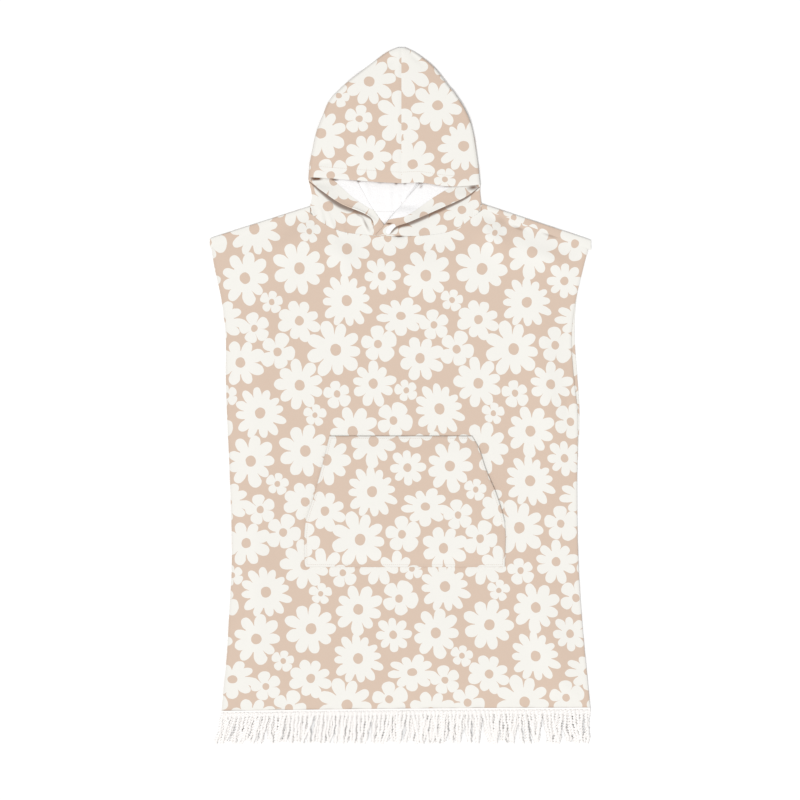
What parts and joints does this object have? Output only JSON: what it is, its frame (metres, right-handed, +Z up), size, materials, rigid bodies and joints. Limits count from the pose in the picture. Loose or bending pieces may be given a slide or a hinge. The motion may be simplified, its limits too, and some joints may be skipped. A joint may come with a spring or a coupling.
{
  "type": "hooded bath poncho",
  "caption": "Child's hooded towelling poncho laid out flat, with a daisy print, kangaroo pocket, open arm slots and a cotton fringe along the hem.",
  "frame": {"origin": "on the surface it lies on, under the middle of its outline", "axes": "+X to the right as the front is seen, +Y from the hem to the tip of the hood, +Z up from the surface, through the front"},
  "size_m": [0.6309, 1.1493, 0.013],
  "materials": {
    "printed_towelling": "cotton towelling with a short cut pile outside, beige printed with cream daisies, white loops inside",
    "cotton_fringe": "loose cream cotton strands hanging from a woven heading"
  },
  "bodies": {
    "root": {"back_panel": "printed_towelling", "front_panel": "printed_towelling", "hood_left": "printed_towelling", "hood_right": "printed_towelling", "pocket": "printed_towelling", "fringe_front": "cotton_fringe", "fringe_back": "cotton_fringe"}
  },
  "joints": []
}
